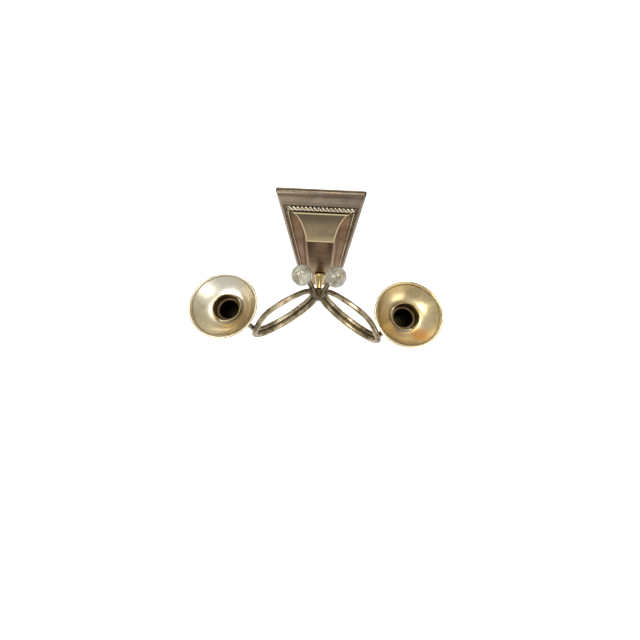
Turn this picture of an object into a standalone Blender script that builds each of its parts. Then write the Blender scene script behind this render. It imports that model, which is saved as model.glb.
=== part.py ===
"""Two-arm wall candelabrum (sconce) in aged brass, copper and glass.

Units are metres and +Z is up. The wall is the plane Y = 0 and the room is on its -Y side.
The origin is the middle of the back plate's rear face, where the part meets the wall.
Each sub-part is its own object. The two candle sleeves lift straight out of their cups.
"""
import bpy
import bmesh
from math import asin, cos, exp, pi, radians, sin, sqrt
from mathutils import Vector

MM = 0.001
GAP = 0.3 * MM                      # clearance between neighbouring pieces

# back plate: a sheet that narrows downwards
PLATE_TOP = 96.6 * MM
PLATE_BOTTOM = 77.9 * MM
PLATE_HEIGHT = 222.0 * MM
PLATE_SHEET = 1.6 * MM
PLATE_CORNER = 3.2 * MM

# pressed frame on the plate: bevel, crest and step down to the copper panel
FRAME_SHEET = 1.0 * MM
FRAME_DEPTH = 7.6 * MM              # wall to crest
FRAME_STEP = 5.0 * MM               # wall to the step that carries the rope
RAIL_BEVEL = 4.3 * MM
RAIL_CREST = 5.5 * MM
RAIL_WIDTH = 7.0 * MM
HEADER_BEVEL = 2.6 * MM
HEADER_CREST = 16.5 * MM
HEADER_WIDTH = 24.0 * MM

PANEL_SHEET = 1.1 * MM
PANEL_FRONT = PLATE_SHEET + GAP + PANEL_SHEET
BEAD_RADIUS = 1.1 * MM

# the keyhole that the plate hangs by, behind the hollow header
KEYHOLE_Z = 97.0 * MM
KEYHOLE_HEAD = 4.4 * MM             # radius of the wide part
KEYHOLE_SLOT = 2.2 * MM             # radius of the narrow part
KEYHOLE_LENGTH = 7.0 * MM

# level of the arms' knuckle and of everything hung on it
ARM_LEVEL = -61.0 * MM

# twisted rope under the header
ROPE_Z = ARM_LEVEL + 151.8 * MM
ROPE_HALF = 37.4 * MM
ROPE_STRAND = 1.32 * MM             # radius of one strand
ROPE_TURNS = 8
PIN_X = 39.1 * MM
PIN_RADIUS = 1.15 * MM

# apron: a shaped sheet that leans out under the rope
APRON_TOP = ARM_LEVEL + 139.5 * MM
APRON_HEIGHT = 40.5 * MM
APRON_SHEET = 1.2 * MM
APRON_REACH = 12.8 * MM             # how far its lower edge leans out
APRON_LOW_HALF = 18.5 * MM
APRON_ROWS = 16

# channel below the apron, which carries the horn
CHANNEL_TOP = ARM_LEVEL + 99.3 * MM
CHANNEL_BOTTOM = ARM_LEVEL - 40.0 * MM
CHANNEL_DEPTH = 20.0 * MM           # wall to its front face at the arms' level
CHANNEL_LEAN = 0.0462               # its front face leans out towards the foot
CHANNEL_TUCK = 9.0 * MM             # how far its sides run up behind the apron
CHANNEL_FRONT_HALF = 18.5 * MM
CHANNEL_BACK_HALF = 25.5 * MM
CHANNEL_SHEET = 1.2 * MM

# horn: the flared cone that holds the knuckle off the channel
HORN_BASE_RADIUS = 10.0 * MM
HORN_TIP_RADIUS = 4.6 * MM
HORN_TIP_Y = 45.0 * MM
STUD_RADIUS = 3.0 * MM
NUT_FLATS = 10.0 * MM
NUT_HEIGHT = 4.0 * MM

# arms: one rod each, bent one and a half turns round an upright oval
ROD_RADIUS = 4.3 * MM
STRAND_PITCH = 8.9 * MM             # centre to centre where two turns lie together
LOOP_EXTRA = 3.2 * MM               # how far the loop runs out past the stem
STRAND_SPREAD = 1.2 * MM            # extra pitch where they leave the knuckle
KNUCKLE_X = 8.0 * MM
KNUCKLE_Y = -55.9 * MM
BOWL_X = 101.6 * MM
BOWL_Y = -119.3 * MM
OVAL_HALF_HEIGHT = 37.0 * MM
STEM_TOP = 90.9 * MM                # rod end above ARM_LEVEL

# glass balls on pins
BALL_RADIUS = 15.7 * MM
BALL_X = 25.2 * MM
BALL_Y = -46.9 * MM
BALL_RISE = 56.4 * MM
BALL_LEAN = radians(12)
BALL_TIP = radians(14)              # how far the pin leans towards the room
BALL_PIN = 1.3 * MM
SEAT_RADIUS = 7.6 * MM
SOCKET_DEPTH = 6.0 * MM

# drip bowls, candle cups and sleeves
BOWL_RADIUS = 37.7 * MM
BOWL_SHEET = 1.0 * MM
BOWL_RIM = ARM_LEVEL + 133.2 * MM
BOWL_DEPTH = 15.5 * MM
CUP_RADIUS = 15.7 * MM
CUP_WALL = 0.8 * MM
CUP_SUNK = 10.7 * MM                # cup rim below the bowl's rim
CUP_HEIGHT = 30.0 * MM
SEAT_RISE = 1.9 * MM                # outside floor to the pad the candle stands on
SLEEVE_BORE = 11.0 * MM             # takes a 22 mm candle
SLEEVE_SUNK = 8.4 * MM              # ledge below the cup's rim
SLEEVE_WALL = 0.9 * MM
TURN_STEPS = 32


def clear_scene():
    for item in list(bpy.data.objects):
        bpy.data.objects.remove(item, do_unlink=True)


def make_material(name, colour, metallic, roughness, alpha=1.0):
    material = bpy.data.materials.new(name)
    material.use_nodes = True
    shader = material.node_tree.nodes["Principled BSDF"]
    shader.inputs["Base Color"].default_value = (*colour, 1.0)
    shader.inputs["Metallic"].default_value = metallic
    shader.inputs["Roughness"].default_value = roughness
    shader.inputs["Alpha"].default_value = alpha
    material.diffuse_color = (*colour, alpha)
    return material


def place(name, data, material, parent, location=(0, 0, 0), rotation=(0, 0, 0)):
    """Put a mesh or curve in the scene under its parent."""
    if material is not None:
        data.materials.append(material)
    item = bpy.data.objects.new(name, data)
    item.location = location
    item.rotation_euler = rotation
    item.parent = parent
    bpy.context.collection.objects.link(item)
    return item


def finish_mesh(name, work, smooth):
    """Turn a bmesh into a mesh with its normals pointing out, and smooth it if it is round."""
    bmesh.ops.recalc_face_normals(work, faces=work.faces)
    mesh = bpy.data.meshes.new(name)
    work.to_mesh(mesh)
    work.free()
    if smooth:
        mesh.shade_smooth()
        mesh.set_sharp_from_angle(angle=radians(35))
    return mesh


def add_cutter(item, cutter):
    """Cut the cutter's shape out of the item."""
    cutter.hide_render = True
    cutter.display_type = 'WIRE'
    boolean = item.modifiers.new("cut_" + cutter.name, 'BOOLEAN')
    boolean.operation = 'DIFFERENCE'
    boolean.solver = 'EXACT'
    boolean.object = cutter


def loft(name, rings, close=False, smooth=False):
    """Skin rings of equal length. close joins the last ring to the first, else both are capped."""
    work = bmesh.new()
    rows = [[work.verts.new(point) for point in ring] for ring in rings]
    size = len(rows[0])
    for row in range(len(rows) if close else len(rows) - 1):
        low, high = rows[row], rows[(row + 1) % len(rows)]
        for k in range(size):
            after = (k + 1) % size
            work.faces.new((low[k], low[after], high[after], high[k]))
    if not close:
        work.faces.new(rows[0][::-1])
        work.faces.new(rows[-1])
    return finish_mesh(name, work, smooth)


def turned(name, outline, steps=TURN_STEPS):
    """Spin a (radius, height) outline round the Z axis; it closes on itself or on the axis."""
    work = bmesh.new()
    verts = [work.verts.new((radius, 0.0, height)) for radius, height in outline]
    pairs = list(zip(verts, verts[1:]))
    if outline[0][0] > 0 or outline[-1][0] > 0:
        pairs.append((verts[-1], verts[0]))
    edges = [work.edges.new(pair) for pair in pairs]
    bmesh.ops.spin(work, geom=verts + edges, cent=(0, 0, 0), axis=(0, 0, 1), angle=2 * pi,
                   steps=steps, use_merge=True)
    bmesh.ops.remove_doubles(work, verts=work.verts, dist=0.001 * MM)
    return finish_mesh(name, work, smooth=True)


def rod_curve(name, path, radius, resolution):
    """A round rod along a path, with flat ends; it has 4 + 2 * resolution sides."""
    curve = bpy.data.curves.new(name, 'CURVE')
    curve.dimensions = '3D'
    curve.bevel_depth = radius
    curve.bevel_resolution = resolution
    curve.use_fill_caps = True
    spline = curve.splines.new('POLY')
    spline.points.add(len(path) - 1)
    for point, target in zip(spline.points, path):
        point.co = (*target, 1.0)
    spline.use_smooth = True
    return curve


def curve_cutter(name, curve, parent, location):
    """A mesh copy of a curve's tube, for a Boolean to use."""
    source = place(name + "_curve", curve, None, parent, location)
    depsgraph = bpy.context.evaluated_depsgraph_get()
    mesh = bpy.data.meshes.new_from_object(source.evaluated_get(depsgraph))
    bpy.data.objects.remove(source, do_unlink=True)
    return place(name, mesh, None, parent, location)


def thicken(line, sheet):
    """Close an open outline by adding the same line moved sideways by the sheet's thickness."""
    moved = []
    for k, (radius, height) in enumerate(line):
        before, after = line[max(k - 1, 0)], line[min(k + 1, len(line) - 1)]
        run, rise = after[0] - before[0], after[1] - before[1]
        length = sqrt(run * run + rise * rise)
        moved.append((radius + sheet * rise / length, height - sheet * run / length))
    return line + moved[::-1]


def plate_half(z):
    """Half the plate's width at a height."""
    middle = (PLATE_TOP + PLATE_BOTTOM) / 4
    return middle + z * (PLATE_TOP - PLATE_BOTTOM) / (2 * PLATE_HEIGHT)


def plate_ring(y, side, top, bottom, corner):
    """The plate's outline, moved in by the given widths, with rounded corners."""
    high, low = PLATE_HEIGHT / 2 - top, bottom - PLATE_HEIGHT / 2
    wide, narrow = plate_half(high) - side, plate_half(low) - side
    corners = [Vector((-wide, y, high)), Vector((wide, y, high)),
               Vector((narrow, y, low)), Vector((-narrow, y, low))]
    ring = []
    for k, point in enumerate(corners):
        start = point + (corners[k - 1] - point).normalized() * corner
        end = point + (corners[(k + 1) % 4] - point).normalized() * corner
        for step in range(5):
            u = step / 4
            ring.append(start * (1 - u) ** 2 + point * (2 * u * (1 - u)) + end * u * u)
    return ring


def make_plate_parts(root, brass, copper):
    sheet = [plate_ring(y, 0, 0, 0, PLATE_CORNER) for y in (0, -PLATE_SHEET)]
    plate = place("back_plate", loft("back_plate", sheet), brass, root)
    add_cutter(plate, keyhole_cutter(root))

    # each line of the pressed section: side inset, top inset, bottom inset, depth
    sheet, rest = FRAME_SHEET, PLATE_SHEET + GAP
    panel = PANEL_FRONT + GAP
    section = [
        (GAP, GAP, GAP, rest), (GAP, GAP, GAP, rest + 0.7 * MM),
        (RAIL_BEVEL, HEADER_BEVEL, RAIL_BEVEL, FRAME_DEPTH),
        (RAIL_CREST, HEADER_CREST, RAIL_CREST, FRAME_DEPTH),
        (RAIL_CREST + GAP, HEADER_CREST + GAP, RAIL_CREST + GAP, FRAME_STEP),
        (RAIL_WIDTH, HEADER_WIDTH, RAIL_WIDTH, FRAME_STEP),
        (RAIL_WIDTH, HEADER_WIDTH, RAIL_WIDTH, panel),
        (RAIL_WIDTH - sheet, HEADER_WIDTH - sheet, RAIL_WIDTH - sheet, panel),
        (RAIL_WIDTH - sheet, HEADER_WIDTH - sheet, RAIL_WIDTH - sheet, FRAME_STEP - sheet),
        (RAIL_CREST - 0.5 * sheet, HEADER_CREST - sheet, RAIL_CREST - 0.5 * sheet, FRAME_STEP - sheet),
        (RAIL_CREST - sheet, HEADER_CREST - 1.3 * sheet, RAIL_CREST - sheet, FRAME_DEPTH - sheet),
        (RAIL_BEVEL + 0.2 * MM, HEADER_BEVEL + 0.4 * MM, RAIL_BEVEL + 0.2 * MM, FRAME_DEPTH - sheet),
        (GAP + 1.3 * sheet, GAP + 1.3 * sheet, GAP + 1.3 * sheet, rest)]
    rings = []
    for side, top, bottom, depth in section:
        corner = max(PLATE_CORNER - side, 0.3 * MM)
        rings.append(plate_ring(-depth, side, top, bottom, corner))
    frame = place("plate_frame", loft("plate_frame", rings, close=True), brass, root)
    for name, drop in (("upper", 11.6 * MM), ("lower", 13.8 * MM)):
        add_cutter(frame, header_line_cutter(name, drop, root))

    inset = RAIL_WIDTH - 2.5 * MM
    under = HEADER_WIDTH - 2.5 * MM
    rings = [plate_ring(-depth, inset, under, inset, 0.5 * MM) for depth in (rest, PANEL_FRONT)]
    place("copper_panel", loft("copper_panel", rings), copper, root)


def keyhole_cutter(root):
    """A round hole that runs up into a narrow slot."""
    outline = []
    spread = asin(KEYHOLE_SLOT / KEYHOLE_HEAD)
    for k in range(17):
        turn = pi / 2 + spread + (2 * pi - 2 * spread) * k / 16
        outline.append((KEYHOLE_HEAD * cos(turn), KEYHOLE_Z - KEYHOLE_LENGTH + KEYHOLE_HEAD * sin(turn)))
    for k in range(9):
        turn = pi * k / 8
        outline.append((KEYHOLE_SLOT * cos(turn), KEYHOLE_Z + KEYHOLE_SLOT * sin(turn)))
    rings = [[(x, y, z) for x, z in outline] for y in (1 * MM, -PLATE_SHEET - 0.2 * MM)]
    return place("keyhole_cutter", loft("keyhole_cutter", rings), None, root)


def header_line_cutter(name, drop, root):
    """A fine V groove across the header's face."""
    z = PLATE_HEIGHT / 2 - drop
    half = plate_half(z) - RAIL_CREST
    section = [(-FRAME_DEPTH - 0.1 * MM, z + 0.4 * MM), (-FRAME_DEPTH + 0.35 * MM, z),
               (-FRAME_DEPTH - 0.1 * MM, z - 0.4 * MM)]
    rings = [[(x, y, height) for y, height in section] for x in (-half, half)]
    return place("header_line_" + name, loft("header_line_" + name, rings), None, root)


def make_beads(root, brass):
    """Round beads that edge the copper panel on both sides."""
    inset = RAIL_WIDTH + GAP + BEAD_RADIUS
    high = PLATE_HEIGHT / 2 - HEADER_WIDTH - 5.5 * MM
    low = RAIL_WIDTH + 0.6 * MM - PLATE_HEIGHT / 2
    y = -(PANEL_FRONT + GAP + BEAD_RADIUS)
    for name, sign in (("left", -1), ("right", 1)):
        path = [Vector((sign * (plate_half(z) - inset), y, z)) for z in (high, low)]
        place("panel_bead_" + name, rod_curve("panel_bead", path, BEAD_RADIUS, 3), brass, root)


def make_rope(root, brass):
    """Two wires twisted round each other along X."""
    lift = ROPE_STRAND + 0.02 * MM
    y = -(FRAME_STEP + GAP + 2 * ROPE_STRAND)
    steps = 8 * ROPE_TURNS
    for name, start in (("a", 0.0), ("b", pi)):
        path = []
        for k in range(steps + 1):
            u = k / steps
            turn = start + 2 * pi * ROPE_TURNS * u
            path.append(Vector((ROPE_HALF * (2 * u - 1), lift * cos(turn), lift * sin(turn))))
        wire = rod_curve("rope_wire", path, ROPE_STRAND * 0.9, 1)
        place("rope_wire_" + name, wire, brass, root, (0, y, ROPE_Z))


def make_rope_pins(root, brass):
    """Round-headed pins at the ends of the rope."""
    dome = [(PIN_RADIUS * cos(pi / 2 * k / 4), 0.5 * MM + 0.8 * MM * sin(pi / 2 * k / 4)) for k in range(5)]
    dome[-1] = (0.0, dome[-1][1])
    for name, sign in (("left", -1), ("right", 1)):
        pin = turned("rope_pin", [(0.0, 0.0), (PIN_RADIUS, 0.0)] + dome, 14)
        place("rope_pin_" + name, pin, brass, root,
              (sign * PIN_X, -FRAME_STEP - GAP, ROPE_Z), (pi / 2, 0, 0))


def make_apron(root, brass):
    """A sheet that narrows as it leans out, with hollow flanks."""
    back = PANEL_FRONT + GAP
    rings = []
    for row in range(APRON_ROWS + 1):
        u = row / APRON_ROWS
        z = APRON_TOP - u * APRON_HEIGHT
        depth = back + APRON_SHEET + APRON_REACH * u ** 1.5
        half = APRON_LOW_HALF + 11.5 * MM * (1 - u) ** 1.5 + 4 * MM * exp(-9 * u)
        rings.append([(-half, -depth, z), (half, -depth, z),
                      (half, APRON_SHEET - depth, z), (-half, APRON_SHEET - depth, z)])
    place("apron", loft("apron", rings, smooth=True), brass, root)


def make_channel(root, brass):
    """A folded channel with sloping sides, open at the back and at both ends."""
    sheet = CHANNEL_SHEET
    back = PANEL_FRONT + GAP
    front, wide = CHANNEL_FRONT_HALF, CHANNEL_BACK_HALF
    rings = []
    for z in (CHANNEL_TOP, CHANNEL_BOTTOM):
        depth = CHANNEL_DEPTH - (z - ARM_LEVEL) * CHANNEL_LEAN
        half_outline = [(wide, -back), (front, -depth)]
        half_inside = [(front - 0.7 * sheet, sheet - depth), (wide - 1.17 * sheet, -back)]
        outline = [(-x, y) for x, y in half_outline] + [(x, y) for x, y in half_outline[::-1]]
        outline += [(x, y) for x, y in half_inside[::-1]] + [(-x, y) for x, y in half_inside]
        ring = []
        for x, y in outline:
            tuck = (depth + y) / (depth - back) if z == CHANNEL_TOP else 0.0
            ring.append((x * (1 - 0.10 * tuck), y, z + CHANNEL_TUCK * tuck))
        rings.append(ring)
    channel = place("bracket_channel", loft("bracket_channel", rings), brass, root)
    add_cutter(channel, round_cutter("stud_hole_cutter", 8 * MM, 4 * MM - CHANNEL_DEPTH, root))


def round_cutter(name, length, start_y, root):
    """A plain cylinder for the stud, from start_y towards the room."""
    radius = STUD_RADIUS + GAP
    outline = [(0.0, 0.0), (radius, 0.0), (radius, length), (0.0, length)]
    return place(name, turned(name, outline, 24), None, root, (0, start_y, ARM_LEVEL), (pi / 2, 0, 0))


def make_horn(root, brass):
    """The cone, its stud through the channel, and the spigot that the knuckle sits on."""
    face = CHANNEL_DEPTH + HORN_BASE_RADIUS * CHANNEL_LEAN + GAP
    length = HORN_TIP_Y - face
    flare = []
    for k in range(9):
        u = k / 8
        radius = HORN_TIP_RADIUS + (HORN_BASE_RADIUS - 0.6 * MM - HORN_TIP_RADIUS) * (1 - u) ** 1.5
        flare.append((radius, 1.6 * MM + u * (length - 1.6 * MM)))
    profile = [(0.0, -7.4 * MM), (STUD_RADIUS, -7.4 * MM), (STUD_RADIUS, 0.0),
               (HORN_BASE_RADIUS, 0.0), (HORN_BASE_RADIUS, 1.0 * MM)] + flare
    profile += [(STUD_RADIUS, length), (STUD_RADIUS, length + 3.0 * MM), (0.0, length + 3.0 * MM)]
    place("horn", turned("horn", profile, 28), brass, root, (0, -face, ARM_LEVEL), (pi / 2, 0, 0))


def make_horn_nut(root, brass):
    """Hexagon nut on the stud, inside the channel."""
    inner = CHANNEL_DEPTH - CHANNEL_SHEET - NUT_FLATS * CHANNEL_LEAN - GAP
    hex_radius = NUT_FLATS / 2 / cos(pi / 6)
    rings = []
    for radius, low in ((STUD_RADIUS + GAP, True), (hex_radius, True),
                        (hex_radius, False), (STUD_RADIUS + GAP, False)):
        y = -inner if low else NUT_HEIGHT - inner
        ring = []
        for k in range(24):
            turn = 2 * pi * k / 24
            reach = radius
            if radius == hex_radius:
                reach = NUT_FLATS / 2 / cos((turn + pi / 6) % (pi / 3) - pi / 6)
            ring.append((reach * cos(turn), y, ARM_LEVEL + reach * sin(turn)))
        rings.append(ring)
    place("horn_nut", loft("horn_nut", rings, close=True), brass, root)


def arm_frame():
    """Start, outward and wallward directions and length of the right arm's upright plane.

    The rod ends on the wallward side of this plane, right under the bowl's middle.
    """
    start = Vector((KNUCKLE_X, KNUCKLE_Y, 0))
    reach = Vector((BOWL_X, BOWL_Y, 0)) - start
    side = STRAND_PITCH / 2
    length = sqrt(reach.length_squared - side * side)
    out = (reach * length - Vector((-reach.y, reach.x, 0)) * side) / reach.length_squared
    return start, out, Vector((-out.y, out.x, 0)), length


def ball_axis():
    """Direction of the right ball's pin."""
    return Vector((cos(BALL_TIP) * sin(BALL_LEAN), -sin(BALL_TIP), cos(BALL_TIP) * cos(BALL_LEAN)))


def arm_point(t):
    """Centre of the right arm's rod; each whole number of t starts a new stretch.

    0 to 1 falls from the ball, 1 to 2 runs out under the oval, 2 to 3 comes back over it,
    3 to 4 runs out again beside the first run, on its wall side, and 4 to 5 rises to the cup.
    """
    start, out, wallward, length = arm_frame()
    stretch = min(int(t), 4)
    u = t - stretch
    side = STRAND_PITCH / 2
    if stretch == 0:
        low = start - wallward * (side + STRAND_SPREAD)
        high = Vector((BALL_X, BALL_Y, BALL_RISE)) - ball_axis() * (BALL_RADIUS + 6.0 * MM)
        bend = high - ball_axis() * SOCKET_DEPTH
        if u < 0.2:
            return high.lerp(bend, u / 0.2)
        u, lever = (u - 0.2) / 0.8, 12 * MM
        a, b, c, d = bend, bend - ball_axis() * lever, low + Vector((0, 0, lever)), low
        return a * (1 - u) ** 3 + b * 3 * u * (1 - u) ** 2 + c * 3 * u * u * (1 - u) + d * u ** 3
    if stretch == 4:
        return start + out * length + wallward * side + Vector((0, 0, u * STEM_TOP))
    turn = pi + pi * (t - 1)
    if stretch < 3:
        length += LOOP_EXTRA
    along, rise = length / 2 * (1 + cos(turn)), OVAL_HALF_HEIGHT * sin(turn)
    if stretch == 1:
        offset = -side - STRAND_SPREAD * (1 - u)
    else:
        cross = min(max((u - 0.08) / 0.35, 0.0), 1.0) if stretch == 2 else 1.0
        offset = -side * cos(cross * pi)
    return start + out * along + wallward * offset + Vector((0, 0, rise))


def rod_path(sign, first, last, steps):
    """Points of one arm, relative to the knuckle's level; sign -1 mirrors it to the left."""
    points = [arm_point(first + (last - first) * k / steps) for k in range(steps + 1)]
    return [Vector((sign * p.x, p.y, p.z)) for p in points]


def make_arms(root, brass):
    for name, sign in (("left", -1), ("right", 1)):
        path = rod_path(sign, 0, 4, 88) + rod_path(sign, 4, 5, 3)[1:]
        place("arm_" + name, rod_curve("arm", path, ROD_RADIUS, 3), brass, root, (0, 0, ARM_LEVEL))


def convex_outline(points):
    """Outer corners of a flat point set, in order."""
    points = sorted(points)
    chains = []
    for run in (points, points[::-1]):
        chain = []
        for p in run:
            while len(chain) > 1 and ((chain[-1][0] - chain[-2][0]) * (p[1] - chain[-2][1])
                                      - (chain[-1][1] - chain[-2][1]) * (p[0] - chain[-2][0])) <= 0:
                chain.pop()
            chain.append(p)
        chains += chain[:-1]
    return chains


def make_knuckle(root, brass):
    """The brazed block that gathers the four strands on the horn's tip."""
    back = -(HORN_TIP_Y + GAP)
    points = [(x, back) for x in (-6.5 * MM, 6.5 * MM)]
    for t in (1.0, 3.0):
        centre = arm_point(t)
        for k in range(20):
            turn = 2 * pi * k / 20
            x = centre.x + 4.9 * MM * cos(turn)
            y = min(centre.y + 4.9 * MM * sin(turn), back)
            points += [(x, y), (-x, y)]
    outline = convex_outline(points)
    middle = sum(y for x, y in outline) / len(outline)
    rings = []
    for z, shrink in ((-6.5, 0.88), (-5.3, 1.0), (5.3, 1.0), (6.5, 0.88)):
        rings.append([(x * shrink, min(middle + (y - middle) * shrink, back), z * MM) for x, y in outline])
    knuckle = place("arm_knuckle", loft("arm_knuckle", rings), brass, root, (0, 0, ARM_LEVEL))
    for name, sign in (("left", -1), ("right", 1)):
        for strand, first, last in (("ball", 0.6, 1.12), ("loop", 2.9, 3.1)):
            tube = rod_curve("rod_cutter", rod_path(sign, first, last, 10), ROD_RADIUS + GAP, 4)
            add_cutter(knuckle, curve_cutter("rod_cutter_" + strand + "_" + name, tube, root,
                                             (0, 0, ARM_LEVEL)))
    add_cutter(knuckle, round_cutter("spigot_cutter", 4.4 * MM, 1 * MM - HORN_TIP_Y, root))


def ball_profile():
    """A ball bored through along its axis."""
    hole = BALL_PIN + GAP
    start = asin(hole / BALL_RADIUS)
    profile = []
    for k in range(13):
        turn = start + (pi - 2 * start) * k / 12
        profile.append((BALL_RADIUS * sin(turn), -BALL_RADIUS * cos(turn)))
    return profile


def seat_profile():
    """A cup under the ball, with a socket below for the end of the rod."""
    hole = BALL_PIN + GAP
    socket = ROD_RADIUS + GAP
    rest = BALL_RADIUS + GAP
    bed = []
    for k in range(5):
        radius = hole + (SEAT_RADIUS - hole) * k / 4
        bed.append((radius, -sqrt(rest * rest - radius * radius)))
    floor = -(BALL_RADIUS + 6.0 * MM) + GAP
    under = [(SEAT_RADIUS + 0.5 * MM, bed[-1][1] - 0.5 * MM), (SEAT_RADIUS - 0.8 * MM, bed[-1][1] - 2.4 * MM),
             (socket + 0.9 * MM, -(BALL_RADIUS + 3.6 * MM)), (socket + 0.9 * MM, floor - 5.0 * MM),
             (socket, floor - 5.0 * MM), (socket, floor), (hole, floor)]
    return bed + under


def pin_profile():
    """A straight pin with a low domed head on top of the ball."""
    head = BALL_PIN + 1.5 * MM
    top = BALL_RADIUS + GAP
    dome = [(head * cos(pi / 2 * k / 4), top + 0.6 * MM + 1.1 * MM * sin(pi / 2 * k / 4)) for k in range(5)]
    dome[-1] = (0.0, dome[-1][1])
    foot = -(BALL_RADIUS + 5.2 * MM)
    return [(0.0, foot), (BALL_PIN, foot), (BALL_PIN, top), (head, top)] + dome


def make_balls(root, brass, glass):
    for name, sign in (("left", -1), ("right", 1)):
        centre = (sign * BALL_X, BALL_Y, ARM_LEVEL + BALL_RISE)
        tilt = (BALL_TIP, sign * BALL_LEAN, 0)
        for kind, profile, steps, material in (("glass_ball", ball_profile(), 24, glass),
                                               ("ball_seat", seat_profile(), 20, brass),
                                               ("ball_pin", pin_profile(), 12, brass)):
            place(kind + "_" + name, turned(kind, profile, steps), material, root, centre, tilt)


def bowl_profile():
    """The bowl's inner line from the neck to the rolled rim, thickened outwards."""
    neck = CUP_RADIUS + 0.5 * MM
    brim = BOWL_RADIUS - 4.2 * MM
    line = [(neck, -BOWL_DEPTH - 4.0 * MM), (neck, -BOWL_DEPTH - 1.0 * MM)]
    for k in range(7):
        u = k / 6
        line.append((neck + 0.6 * MM + (brim - neck - 0.6 * MM) * u,
                     -BOWL_DEPTH + (BOWL_DEPTH - 2.8 * MM) * u ** 1.7))
    line += [(BOWL_RADIUS - 3.6 * MM, -2.0 * MM), (BOWL_RADIUS - 3.0 * MM, -2.1 * MM),
             (BOWL_RADIUS - 2.3 * MM, -0.6 * MM), (BOWL_RADIUS - 1.4 * MM, 0.0),
             (BOWL_RADIUS - 0.3 * MM, -0.5 * MM), (BOWL_RADIUS, -1.6 * MM)]
    inner = thicken(line[:-3], BOWL_SHEET)[len(line) - 3:]
    curl = [(BOWL_RADIUS - 0.9 * MM, -1.7 * MM), (BOWL_RADIUS - 1.4 * MM, -1.1 * MM)]
    return line + curl + inner[1:]


def make_bowls(root, brass):
    """Drip bowls, the cups through them, and the turned collars under the cups."""
    inside = CUP_RADIUS - CUP_WALL
    cup = [(0.0, -CUP_HEIGHT), (CUP_RADIUS - 1.0 * MM, -CUP_HEIGHT), (CUP_RADIUS, 1.0 * MM - CUP_HEIGHT),
           (CUP_RADIUS, -1.0 * MM), (CUP_RADIUS + 0.4 * MM, -0.6 * MM), (CUP_RADIUS + 0.3 * MM, -0.1 * MM),
           (CUP_RADIUS - 0.2 * MM, 0.0), (inside, -0.5 * MM), (inside, 1.2 * MM - CUP_HEIGHT),
           (SLEEVE_BORE - 0.5 * MM, 1.2 * MM - CUP_HEIGHT), (SLEEVE_BORE - 0.7 * MM, SEAT_RISE - CUP_HEIGHT),
           (0.0, SEAT_RISE - CUP_HEIGHT)]
    bore = ROD_RADIUS + GAP
    collar = [(0.0, 0.0), (6.6 * MM, 0.0), (7.6 * MM, -0.8 * MM), (7.6 * MM, -2.2 * MM),
              (6.2 * MM, -3.2 * MM), (5.4 * MM, -6.5 * MM), (6.0 * MM, -8.4 * MM),
              (6.0 * MM, -10.4 * MM), (5.0 * MM, -11.2 * MM), (bore, -11.2 * MM),
              (bore, -1.0 * MM), (0.0, -1.0 * MM)]
    for name, sign in (("left", -1), ("right", 1)):
        cup_z = BOWL_RIM - CUP_SUNK
        for kind, profile, z in (("drip_bowl", bowl_profile(), BOWL_RIM), ("candle_cup", cup, cup_z),
                                 ("stem_collar", collar, cup_z - CUP_HEIGHT - GAP)):
            mesh = turned(kind, profile, 24 if kind == "stem_collar" else TURN_STEPS)
            place(kind + "_" + name, mesh, brass, root, (sign * BOWL_X, BOWL_Y, z))


def make_sleeves(root, brass):
    """Loose candle sleeves that stand in the cups and lift straight out."""
    lip = CUP_RADIUS - CUP_WALL - GAP
    outside = SLEEVE_BORE + SLEEVE_WALL
    foot = 1.2 * MM + GAP - (CUP_HEIGHT - SLEEVE_SUNK)
    profile = [(SLEEVE_BORE, foot), (outside, foot), (outside, -1.0 * MM), (lip, -1.0 * MM),
               (lip, -0.3 * MM), (lip - 0.4 * MM, 0.0), (SLEEVE_BORE + 0.5 * MM, 0.0),
               (SLEEVE_BORE, -0.5 * MM)]
    for name, sign in (("left", -1), ("right", 1)):
        holder = bpy.data.objects.new("sleeve_axis_" + name, None)
        holder.location = (sign * BOWL_X, BOWL_Y, BOWL_RIM - CUP_SUNK - SLEEVE_SUNK)
        holder.parent = root
        bpy.context.collection.objects.link(holder)
        place("candle_sleeve_" + name, turned("candle_sleeve", profile), brass, holder)


def main():
    clear_scene()
    root = bpy.data.objects.new("wall_mount", None)
    bpy.context.collection.objects.link(root)
    plate_brass = make_material("plate_brass", (0.33, 0.27, 0.19), 1.0, 0.38)
    apron_brass = make_material("apron_brass", (0.42, 0.35, 0.21), 1.0, 0.33)
    copper = make_material("copper_sheet", (0.45, 0.23, 0.14), 1.0, 0.42)
    gold_brass = make_material("bright_brass", (0.80, 0.62, 0.30), 1.0, 0.22)
    rod_brass = make_material("tarnished_rod", (0.40, 0.31, 0.17), 1.0, 0.34)
    dark_brass = make_material("brazed_brass", (0.16, 0.13, 0.08), 1.0, 0.50)
    bowl_brass = make_material("bowl_brass", (0.62, 0.53, 0.34), 1.0, 0.30)
    sleeve_brass = make_material("sleeve_brass", (0.20, 0.16, 0.10), 1.0, 0.50)
    glass = make_material("clear_glass", (0.86, 0.90, 0.86), 0.0, 0.04, 0.35)

    make_plate_parts(root, plate_brass, copper)
    make_beads(root, gold_brass)
    make_rope(root, gold_brass)
    make_rope_pins(root, dark_brass)
    make_apron(root, apron_brass)
    make_channel(root, apron_brass)
    make_horn(root, gold_brass)
    make_horn_nut(root, gold_brass)
    make_arms(root, rod_brass)
    make_knuckle(root, dark_brass)
    make_balls(root, rod_brass, glass)
    make_bowls(root, bowl_brass)
    make_sleeves(root, sleeve_brass)


main()
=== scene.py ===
from math import asin, cos, exp, pi, radians, sin, sqrt

import bmesh
import bpy
from mathutils import Matrix, Vector


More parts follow.
